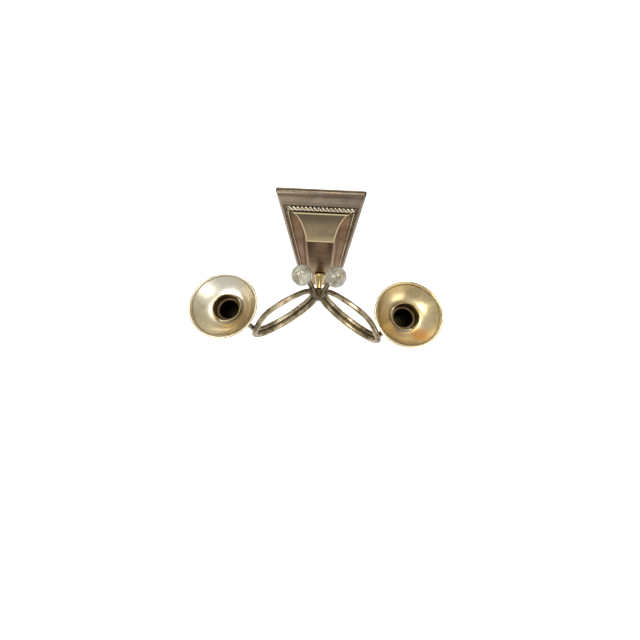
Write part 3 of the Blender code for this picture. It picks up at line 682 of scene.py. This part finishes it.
def make_glass():
    """Cast glass, clear in streaks and clouded between them."""
    glass = Kit("cast_glass")
    cloud = glass.noise(90.0, 4.0, 0.6, distortion=0.6)
    streak = glass.noise(150.0, 3.0, 0.5, glass.scaled((1, 1, 0.25)))
    stops = [(0.0, tone(176, 168, 146)), (0.5, tone(202, 197, 178)), (1.0, tone(226, 226, 212))]
    glass.set(glass.shader.inputs["Base Color"], glass.ramp(glass.span(cloud, 0.35, 0.65), stops))
    glass.set(glass.shader.inputs["Roughness"], glass.span(cloud, 0.3, 0.7, 0.06, 0.30))
    glass.set(glass.shader.inputs["Transmission Weight"], glass.span(streak, 0.3, 0.7, 0.74, 0.38))
    glass.set(glass.shader.inputs["IOR"], 1.48)
    glass.set(glass.shader.inputs["Normal"], glass.bump(streak, 0.05 * MM))
    return glass


def make_materials():
    made = {key: aged_metal(**metal) for key, metal in METALS.items()}
    for key in ("bowl_left", "bowl_right"):
        kit = made[key]
        rings = kit.math('SINE', kit.math('MULTIPLY', kit.radius(), TURNING_MARKS))
        before = kit.shader.inputs["Normal"].links[0].from_socket
        kit.set(kit.shader.inputs["Normal"], kit.bump(rings, 0.006 * MM, before=before))
    made["glass"] = make_glass()
    return {key: kit.material for key, kit in made.items()}


# ---------------------------------------------------------------- pieces

def frame_section():
    """Section of the pressed frame: inset from the sides and foot, inset from the top, and depth."""
    rest, panel, sheet, crest = PLATE_SHEET + GAP, PANEL_FRONT + GAP, FRAME_SHEET, FRAME_DEPTH
    section = [(GAP, GAP, rest), (GAP, GAP, rest + 0.7 * MM), (RAIL_EDGE, HEADER_EDGE, rest + EDGE_RISE)]
    for k in range(1, 11):
        u = k / 10
        section.append((RAIL_EDGE + (RAIL_BEVEL - RAIL_EDGE) * u,
                        HEADER_EDGE + (HEADER_ROUND - HEADER_EDGE) * (0.35 * u + 0.65 * u * u),
                        rest + EDGE_RISE + (crest - rest - EDGE_RISE) * sin(u * pi / 2) ** 0.8))
    section.append((RAIL_BEVEL + 0.1 * MM, HEADER_ROUND + 0.6 * MM, crest))
    for top in HEADER_LINES:
        u = (top - HEADER_ROUND) / (HEADER_CREST - HEADER_ROUND)
        for shift, drop in LINE_GROOVE:
            side = RAIL_BEVEL + (RAIL_CREST - RAIL_BEVEL) * (u + shift / LINE_SQUEEZE)
            section.append((side, top + shift, crest - drop))
    return section + [
        (RAIL_CREST - 0.2 * MM, HEADER_CREST - 0.7 * MM, crest),
        (RAIL_CREST - 0.1 * MM, HEADER_CREST - 0.4 * MM, crest),
        (RAIL_CREST, HEADER_CREST, crest - 0.35 * MM),
        (RAIL_CREST + GAP, HEADER_CREST + GAP, FRAME_STEP + 0.2 * MM),
        (RAIL_CREST + 0.45 * MM, HEADER_CREST + 0.6 * MM, FRAME_STEP),
        (RAIL_WIDTH - 0.25 * MM, HEADER_WIDTH - 0.3 * MM, FRAME_STEP),
        (RAIL_WIDTH, HEADER_WIDTH, FRAME_STEP - 0.3 * MM),
        (RAIL_WIDTH, HEADER_WIDTH, panel),
        (RAIL_WIDTH - sheet, HEADER_WIDTH - sheet, panel),
        (RAIL_WIDTH - sheet, HEADER_WIDTH - sheet, FRAME_STEP - sheet),
        (RAIL_CREST - 0.5 * sheet, HEADER_CREST - sheet, FRAME_STEP - sheet),
        (RAIL_CREST - sheet, HEADER_CREST - 1.3 * sheet, crest - sheet),
        (RAIL_BEVEL + 0.2 * MM, HEADER_BEVEL + 0.4 * MM, crest - sheet),
        (GAP + 1.3 * sheet, GAP + 1.3 * sheet, rest)]


def make_frame(m):
    rings = [plate_ring(-depth, side, top, max(PLATE_CORNER - side, 0.3 * MM))
             for side, top, depth in frame_section()]
    add_piece("pressed_frame", loft("pressed_frame", rings, close=True, angle=30), m["plate"], "sconce",
              "plate_frame")


def make_beads_and_rope(m):
    inset = RAIL_WIDTH + GAP + BEAD_RADIUS
    high = PLATE_HALF_HEIGHT - HEADER_WIDTH - 5.5 * MM
    low = RAIL_WIDTH + 0.6 * MM - PLATE_HALF_HEIGHT
    y = -(PANEL_FRONT + GAP + BEAD_RADIUS)
    for side, sign in SIDES:
        path = [Vector((sign * (plate_half(z) - inset), y, z))
                for z in (high + (low - high) * k / 60 for k in range(61))]
        add_piece("bead_line_" + side, rod_mesh("bead_line", path, BEAD_RADIUS, 18), m["bead"], "sconce",
                  "panel_bead_" + side)

    lift = ROPE_STRAND + 0.02 * MM
    y = -(FRAME_STEP + GAP + 2 * ROPE_STRAND)
    steps = 24 * ROPE_TURNS
    for letter, start in (("a", 0.0), ("b", pi)):
        path = []
        for k in range(steps + 1):
            u = k / steps
            turn = start + 2 * pi * ROPE_TURNS * u
            path.append(Vector((ROPE_HALF * (2 * u - 1), lift * cos(turn), lift * sin(turn))))
        add_piece("twisted_wire_" + letter, rod_mesh("twisted_wire", path, ROPE_STRAND * 0.94, 18), m["rope"],
                  "sconce", "rope_wire_" + letter, (0, y, ROPE_Z))

    dome = [(PIN_RADIUS * cos(pi / 2 * k / 8), 0.5 * MM + 0.8 * MM * sin(pi / 2 * k / 8)) for k in range(9)]
    dome[-1] = (0.0, dome[-1][1])
    for side, sign in SIDES:
        mesh = turned("rope_stud", [(0.0, 0.0), (PIN_RADIUS, 0.0)] + dome, 32, 0.1 * MM)
        add_piece("rope_stud_" + side, mesh, m["pin"], "sconce", "rope_pin_" + side,
                  (sign * PIN_X, -FRAME_STEP - GAP, ROPE_Z), (pi / 2, 0, 0))


def make_apron(m):
    back = PANEL_FRONT + GAP
    rings = []
    rows = 64
    for row in range(rows + 1):
        u = row / rows
        z = APRON_TOP - u * APRON_HEIGHT
        depth = back + APRON_SHEET + APRON_REACH * u ** 1.5
        half = (APRON_LOW_HALF + APRON_FLARE * (1 - u) ** APRON_FLARE_POWER
                + APRON_EAR * exp(-APRON_EAR_FALL * u))
        ring = [(-half + 2 * half * k / 12, -depth, z) for k in range(13)]
        ring += [(half - 2 * half * k / 12, APRON_SHEET - depth, z) for k in range(13)]
        rings.append(ring)
    piece = add_piece("apron_sheet", loft("apron_sheet", rings), m["apron"], "sconce", "apron")
    bevel(piece, 0.4 * MM, 3, 50)


def make_channel(m):
    sheet, back = CHANNEL_SHEET, PANEL_FRONT + GAP
    front, wide = CHANNEL_FRONT_HALF, CHANNEL_BACK_HALF
    rings = []
    for k in range(9):
        z = CHANNEL_TOP + (CHANNEL_BOTTOM - CHANNEL_TOP) * k / 8
        depth = CHANNEL_DEPTH - (z - ARM_LEVEL) * CHANNEL_LEAN
        outer = [(wide, -back), (front, -depth), (-front, -depth), (-wide, -back)]
        inner = [(1.17 * sheet - wide, -back), (0.7 * sheet - front, sheet - depth),
                 (front - 0.7 * sheet, sheet - depth), (wide - 1.17 * sheet, -back)]
        outline = []
        for chain, reach in ((outer, 2.2 * MM), (inner, 1.2 * MM)):
            for i, point in enumerate(chain):
                if i in (0, 3):
                    outline.append(point)
                    continue
                p = Vector(point)
                a, b = Vector(chain[i - 1]) - p, Vector(chain[i + 1]) - p
                curve = rounded(p + a.normalized() * reach, p, p + b.normalized() * reach, CORNER_STEPS)
                outline += [(q.x, q.y) for q in curve]
        ring = []
        for x, y in outline:
            tuck = (depth + y) / (depth - back) if k == 0 else 0.0
            ring.append((x * (1 - CHANNEL_NARROWING * tuck), y, z + CHANNEL_TUCK * tuck))
        rings.append(ring)
    piece = add_piece("folded_channel", loft("folded_channel", rings), m["channel"], "sconce",
                      "bracket_channel")
    hole, bite = STUD_RADIUS + GAP, 8 * MM
    drill = turned("stud_cut", [(0.0, 0.0), (hole, 0.0), (hole, bite), (0.0, bite)], 40, 0.01 * MM)
    cut = bpy.data.objects.new("stud_cut", drill)
    bpy.context.scene.collection.objects.link(cut)
    cut.location, cut.rotation_euler = (0, bite / 2 - CHANNEL_DEPTH, ARM_LEVEL), (pi / 2, 0, 0)
    mod = piece.modifiers.new("hole", 'BOOLEAN')
    mod.object, mod.solver = cut, 'EXACT'
    bpy.context.view_layer.update()
    depsgraph = bpy.context.evaluated_depsgraph_get()
    mesh = bpy.data.meshes.new_from_object(piece.evaluated_get(depsgraph))
    piece.modifiers.clear()
    piece.data = mesh
    mesh.set_sharp_from_angle(angle=radians(40))
    bpy.data.objects.remove(cut, do_unlink=True)


def make_horn(m):
    face = CHANNEL_DEPTH + HORN_BASE_RADIUS * CHANNEL_LEAN + GAP
    length = HORN_TIP_Y - face
    flare = []
    for k in range(25):
        u = k / 24
        radius = HORN_TIP_RADIUS + (HORN_BASE_RADIUS - HORN_FACE_ROUND - HORN_TIP_RADIUS) * (1 - u) ** 1.5
        flare.append((radius, HORN_RIM + u * (length - HORN_RIM)))
    profile = [(0.0, -STUD_LENGTH), (STUD_RADIUS, -STUD_LENGTH), (STUD_RADIUS, 0.0),
               (HORN_BASE_RADIUS, 0.0), (HORN_BASE_RADIUS, 1.0 * MM)] + flare
    profile += [(STUD_RADIUS, length), (STUD_RADIUS, length + TIP_PIN_LENGTH), (0.0, length + TIP_PIN_LENGTH)]
    add_piece("turned_horn", turned("turned_horn", profile, 80), m["horn"], "sconce", "horn",
              (0, -face, ARM_LEVEL), (pi / 2, 0, 0))


def arm_frame():
    """Start of an arm at the knuckle, its outward and wallward directions and the oval's length."""
    start = Vector((KNUCKLE_X, KNUCKLE_Y, 0))
    reach = Vector((BOWL_X, BOWL_Y, 0)) - start
    side = STRAND_PITCH / 2
    length = sqrt(reach.length_squared - side * side)
    out = (reach * length - Vector((-reach.y, reach.x, 0)) * side) / reach.length_squared
    return start, out, Vector((-out.y, out.x, 0)), length


def ball_axis():
    """Direction in which the right ball's pin points."""
    return Vector((cos(BALL_TIP) * sin(BALL_LEAN), -sin(BALL_TIP), cos(BALL_TIP) * cos(BALL_LEAN)))


def arm_point(t):
    """Point of the right rod: 0 to 1 from the ball down to the knuckle, 1 to 2 out under the oval on
    the room's side, 2 to 3 back over it to the wall's side, 3 to 4 out again and 4 to 5 up the stem."""
    start, out, wallward, length = arm_frame()
    stretch = min(int(t), 4)
    u = t - stretch
    side = STRAND_PITCH / 2
    if stretch == 0:
        low = start - wallward * (side + STRAND_SPREAD)
        high = Vector((BALL_X, BALL_Y, BALL_RISE)) - ball_axis() * (BALL_RADIUS + BALL_TO_ROD)
        bend = high - ball_axis() * SOCKET_DEPTH
        if u < SOCKET_SHARE:
            return high.lerp(bend, u / SOCKET_SHARE)
        u, lever = (u - SOCKET_SHARE) / (1 - SOCKET_SHARE), BALL_BEND_LEVER
        a, b, c, d = bend, bend - ball_axis() * lever, low + Vector((0, 0, lever)), low
        return a * (1 - u) ** 3 + b * 3 * u * (1 - u) ** 2 + c * 3 * u * u * (1 - u) + d * u ** 3
    if stretch == 4:
        return start + out * length + wallward * side + Vector((0, 0, u * STEM_TOP))
    turn = pi + pi * (t - 1)
    if stretch < 3:
        length += LOOP_EXTRA
    along, rise = length / 2 * (1 + cos(turn)), OVAL_HALF_HEIGHT * sin(turn)
    if stretch == 1:
        offset = -side - STRAND_SPREAD * (1 - u)
    else:
        cross = min(max((u - CROSS_START) / CROSS_RUN, 0.0), 1.0) if stretch == 2 else 1.0
        offset = -side * cos(cross * pi)
    return start + out * along + wallward * offset + Vector((0, 0, rise))


def rod_path(sign, first, last, steps):
    points = [arm_point(first + (last - first) * k / steps) for k in range(steps + 1)]
    return [Vector((sign * p.x, p.y, p.z)) for p in points]


def seam_path(sign):
    """Points and radii of the braze between the two lower runs of a rod."""
    points, radii = [], []
    for k in range(SEAM_STEPS + 1):
        u = k / SEAM_STEPS
        t = SEAM_START + (SEAM_END - SEAM_START) * u
        middle = (arm_point(1 + t) + arm_point(3 + t)) / 2
        points.append(Vector((sign * middle.x, middle.y, middle.z)))
        radii.append(SEAM_RADIUS * min(1.0, 0.3 + 8 * min(u, 1 - u)))
    return points, radii


def make_arms(m):
    for side, sign in SIDES:
        path = rod_path(sign, 0, 4, 360) + rod_path(sign, 4, 5, 30)[1:]
        add_piece("bent_rod_" + side, rod_mesh("bent_rod", path, ROD_DRAWN_RADIUS, 28), m["rod"], "sconce",
                  "arm_" + side, (0, 0, ARM_LEVEL))
        seam, radii = seam_path(sign)
        add_piece("brazed_seam_" + side, rod_mesh("brazed_seam", seam, radii, 14), m["braze"], "sconce",
                  None, (0, 0, ARM_LEVEL))


def convex_outline(points):
    """Convex outline of flat points, one chain at a time."""
    points = sorted(points)
    chains = []
    for run in (points, points[::-1]):
        chain = []
        for p in run:
            while len(chain) > 1 and ((chain[-1][0] - chain[-2][0]) * (p[1] - chain[-2][1])
                                      - (chain[-1][1] - chain[-2][1]) * (p[0] - chain[-2][0])) <= 0:
                chain.pop()
            chain.append(p)
        chains += chain[:-1]
    return chains


def make_knuckle(m):
    back = -(HORN_TIP_Y + GAP)
    points = [(x, back) for x in (-KNUCKLE_HALF_BACK, KNUCKLE_HALF_BACK)]
    for t in (1.0, 3.0):
        centre = arm_point(t)
        for k in range(48):
            turn = 2 * pi * k / 48
            x = centre.x + KNUCKLE_WRAP * cos(turn)
            y = min(centre.y + KNUCKLE_WRAP * sin(turn), back)
            points += [(x, y), (-x, y)]
    outline = convex_outline(points)
    middle = sum(y for x, y in outline) / len(outline)
    rings = []
    for k in range(13):
        turn = -pi / 2 + pi * k / 12
        z = KNUCKLE_HALF_HEIGHT * (abs(sin(turn)) ** 0.7) * (1 if turn > 0 else -1)
        shrink = 0.80 + 0.20 * max(cos(turn), 0.0) ** 0.45
        rings.append([(x * shrink, min(middle + (y - middle) * shrink, back), z) for x, y in outline])
    add_piece("brazed_knuckle", loft("brazed_knuckle", rings, angle=55), m["braze"], "sconce",
              "arm_knuckle", (0, 0, ARM_LEVEL))


def make_balls(m):
    hole = BALL_PIN + GAP
    start = asin(hole / BALL_RADIUS)
    ball = []
    for k in range(49):
        turn = start + (pi - 2 * start) * k / 48
        ball.append((BALL_RADIUS * sin(turn), -BALL_RADIUS * cos(turn)))
    socket, rest = ROD_RADIUS + GAP, BALL_RADIUS + GAP
    bed = []
    for k in range(11):
        radius = hole + (SEAT_RADIUS - hole) * k / 10
        bed.append((radius, -sqrt(rest * rest - radius * radius)))
    floor = -(BALL_RADIUS + BALL_TO_ROD) + GAP
    skirt = floor - 5.0 * MM
    brim = bed[-1][1]
    seat = bed + [(SEAT_RADIUS + 0.5 * MM, brim - 0.5 * MM), (SEAT_RADIUS - 0.8 * MM, brim - 2.4 * MM),
                  (socket + 0.9 * MM, -(BALL_RADIUS + 3.6 * MM)), (socket + 0.9 * MM, skirt),
                  (socket, skirt), (socket, floor), (hole, floor)]
    head, top = BALL_PIN + 1.5 * MM, BALL_RADIUS + GAP
    dome = [(head * cos(pi / 2 * k / 8), top + 0.6 * MM + 1.1 * MM * sin(pi / 2 * k / 8)) for k in range(9)]
    dome[-1] = (0.0, dome[-1][1])
    foot = -(BALL_RADIUS + 5.2 * MM)
    pin = [(0.0, foot), (BALL_PIN, foot), (BALL_PIN, top), (head, top)] + dome
    for side, sign in SIDES:
        centre, tilt = (sign * BALL_X, BALL_Y, ARM_LEVEL + BALL_RISE), (BALL_TIP, sign * BALL_LEAN, 0)
        add_piece("cast_ball_" + side, turned("cast_ball", ball, 72, 0.25 * MM), m["glass"], "sconce",
                  "glass_ball_" + side, centre, tilt)
        add_piece("ball_cradle_" + side, turned("ball_cradle", seat, 56), m["pin"], "sconce",
                  "ball_seat_" + side, centre, tilt)
        add_piece("ball_rivet_" + side, turned("ball_rivet", pin, 36, 0.15 * MM), m["bead"], "sconce",
                  "ball_pin_" + side, centre, tilt)


def bowl_profile():
    """Section of a bowl: neck on the cup, flaring wall, groove and rolled rim."""
    neck = CUP_RADIUS + 0.5 * MM
    brim = BOWL_RADIUS - 4.2 * MM
    line = [(neck, -BOWL_DEPTH - 4.0 * MM), (neck, -BOWL_DEPTH - 1.0 * MM)]
    for k in range(25):
        u = k / 24
        line.append((neck + 0.6 * MM + (brim - neck - 0.6 * MM) * u,
                     -BOWL_DEPTH + (BOWL_DEPTH - 2.8 * MM) * u ** 1.7))
    line += [(BOWL_RADIUS - 3.6 * MM, -2.0 * MM), (BOWL_RADIUS - 3.0 * MM, -2.1 * MM),
             (BOWL_RADIUS - 2.3 * MM, -0.6 * MM), (BOWL_RADIUS - 1.4 * MM, 0.0),
             (BOWL_RADIUS - 0.3 * MM, -0.5 * MM), (BOWL_RADIUS, -1.6 * MM)]
    inner = thicken(line[:-3], BOWL_SHEET)[len(line) - 3:]
    curl = [(BOWL_RADIUS - 0.9 * MM, -1.7 * MM), (BOWL_RADIUS - 1.4 * MM, -1.1 * MM)]
    return line + curl + inner[1:]


def cup_profile():
    inside = CUP_RADIUS - CUP_WALL
    floor, pad = CUP_FLOOR - CUP_HEIGHT, SEAT_RISE - CUP_HEIGHT
    return [(0.0, -CUP_HEIGHT), (CUP_RADIUS - 1.0 * MM, -CUP_HEIGHT), (CUP_RADIUS, 1.0 * MM - CUP_HEIGHT),
            (CUP_RADIUS, -1.0 * MM), (CUP_RADIUS + 0.4 * MM, -0.6 * MM), (CUP_RADIUS + 0.3 * MM, -0.1 * MM),
            (CUP_RADIUS - 0.2 * MM, 0.0), (inside, -0.5 * MM), (inside, floor),
            (SLEEVE_BORE - 0.5 * MM, floor), (SLEEVE_BORE - 0.7 * MM, pad), (0.0, pad)]


def collar_profile():
    bore, foot = ROD_RADIUS + GAP, -11.2 * MM
    return [(0.0, 0.0), (6.6 * MM, 0.0), (7.6 * MM, -0.8 * MM), (7.6 * MM, -2.2 * MM),
            (6.2 * MM, -3.2 * MM), (5.4 * MM, -6.5 * MM), (6.0 * MM, -8.4 * MM),
            (6.0 * MM, -10.4 * MM), (5.0 * MM, foot), (bore, foot), (bore, -1.0 * MM), (0.0, -1.0 * MM)]


def sleeve_profile():
    lip = CUP_RADIUS - CUP_WALL - GAP
    outside = SLEEVE_BORE + SLEEVE_WALL
    foot = CUP_FLOOR + GAP - (CUP_HEIGHT - SLEEVE_SUNK)
    return [(SLEEVE_BORE, foot), (outside, foot), (outside, -1.0 * MM), (lip, -1.0 * MM),
            (lip, -0.3 * MM), (lip - 0.4 * MM, 0.0), (SLEEVE_BORE + 0.5 * MM, 0.0),
            (SLEEVE_BORE, -0.5 * MM)]


def make_bowls(m):
    for side, sign in SIDES:
        x, cup_z = sign * BOWL_X, BOWL_RIM - CUP_SUNK
        add_piece("spun_bowl_" + side, turned("spun_bowl", bowl_profile(), 128, 0.5 * MM), m["bowl_" + side],
                  "sconce", "drip_bowl_" + side, (x, BOWL_Y, BOWL_RIM))
        add_piece("cup_body_" + side, turned("cup_body", cup_profile(), 96), m["cup"], "sconce",
                  "candle_cup_" + side, (x, BOWL_Y, cup_z))
        collar = turned("turned_collar", collar_profile(), 64, 0.5 * MM)
        add_piece("turned_collar_" + side, collar, m["pin"], "sconce", "stem_collar_" + side,
                  (x, BOWL_Y, cup_z - CUP_HEIGHT - GAP))
        sleeve = turned("lift_out_sleeve", sleeve_profile(), 96, 0.2 * MM)
        add_piece("lift_out_sleeve_" + side, sleeve, m["sleeve"], side + "_sleeve",
                  "candle_sleeve_" + side, (x, BOWL_Y, cup_z - SLEEVE_SUNK))


def dress_cad(m):
    for node, key in (("back_plate", "back"), ("copper_panel", "copper"), ("horn_nut", "horn")):
        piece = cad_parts[node]
        for place in piece.material_slots:
            place.material = m[key]
    for node in ("back_plate", "horn_nut"):
        bevel(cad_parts[node], 0.25 * MM, 2, 40)


def make_stage():
    floor_mesh = bpy.data.meshes.new("floor")
    work = bmesh.new()
    bmesh.ops.create_grid(work, x_segments=1, y_segments=1, size=6.0)
    work.to_mesh(floor_mesh)
    work.free()
    floor = bpy.data.objects.new("floor", floor_mesh)
    floor.location.z = FLOOR_LEVEL
    bpy.context.scene.collection.objects.link(floor)
    paint = bpy.data.materials.new("pale_floor")
    paint.use_nodes = True
    shader = paint.node_tree.nodes["Principled BSDF"]
    shader.inputs["Base Color"].default_value = (0.9, 0.9, 0.9, 1)
    shader.inputs["Roughness"].default_value = 0.9
    shader.inputs["Specular IOR Level"].default_value = 0.0
    shader.inputs["Emission Color"].default_value = (1, 1, 1, 1)
    shader.inputs["Emission Strength"].default_value = 0.55
    floor_mesh.materials.append(paint)


def area(name, position, target, size, power, colour):
    light = bpy.data.lights.new(name, 'AREA')
    light.shape = 'DISK'
    light.size = size
    light.energy = power
    light.color = colour
    lamp = bpy.data.objects.new(name, light)
    lamp.location = position
    lamp.rotation_mode = 'QUATERNION'
    lamp.rotation_quaternion = (Vector(target) - Vector(position)).to_track_quat('-Z', 'Y')
    bpy.context.scene.collection.objects.link(lamp)


def make_light():
    """White to the camera, a pale grey room to everything else, and three soft lamps."""
    world = bpy.data.worlds.new("studio")
    bpy.context.scene.world = world
    world.use_nodes = True
    tree = world.node_tree
    back = tree.nodes["Background"]
    coords = tree.nodes.new("ShaderNodeTexCoord")
    split = tree.nodes.new("ShaderNodeSeparateXYZ")
    tree.links.new(coords.outputs["Generated"], split.inputs[0])
    ramp = tree.nodes.new("ShaderNodeValToRGB")
    tree.links.new(split.outputs[2], ramp.inputs[0])
    stops = ramp.color_ramp.elements
    stops.new(0.5)
    for stop, (place, colour) in zip(stops, ROOM_TONES):
        stop.position, stop.color = place, colour
    tree.links.new(ramp.outputs[0], back.inputs["Color"])
    back.inputs["Strength"].default_value = ROOM_STRENGTH
    white = tree.nodes.new("ShaderNodeBackground")
    white.inputs["Strength"].default_value = 1.0
    white.inputs["Color"].default_value = (1, 1, 1, 1)
    path = tree.nodes.new("ShaderNodeLightPath")
    mixer = tree.nodes.new("ShaderNodeMixShader")
    tree.links.new(path.outputs["Is Camera Ray"], mixer.inputs[0])
    tree.links.new(back.outputs[0], mixer.inputs[1])
    tree.links.new(white.outputs[0], mixer.inputs[2])
    tree.links.new(mixer.outputs[0], tree.nodes["World Output"].inputs["Surface"])
    for lamp in LAMPS:
        area(*lamp)


def make_camera():
    lens = bpy.data.cameras.new("camera")
    lens.sensor_width = SENSOR
    lens.lens = SENSOR * FOCAL_PIXELS / PICTURE_PIXELS
    lens.clip_start, lens.clip_end = 0.01, 60
    lens.dof.use_dof = False
    camera = bpy.data.objects.new("camera", lens)
    bpy.context.scene.collection.objects.link(camera)
    turn = Matrix((CAMERA_RIGHT, CAMERA_UP, CAMERA_RIGHT.cross(CAMERA_UP))).transposed()
    camera.matrix_world = Matrix.Translation(CAMERA_PLACE) @ turn.to_4x4()
    bpy.context.scene.camera = camera


bpy.context.scene.view_settings.view_transform = 'Standard'
materials = make_materials()
make_frame(materials)
make_beads_and_rope(materials)
make_apron(materials)
make_channel(materials)
make_horn(materials)
make_arms(materials)
make_knuckle(materials)
make_balls(materials)
make_bowls(materials)
dress_cad(materials)
make_stage()
make_light()
make_camera()
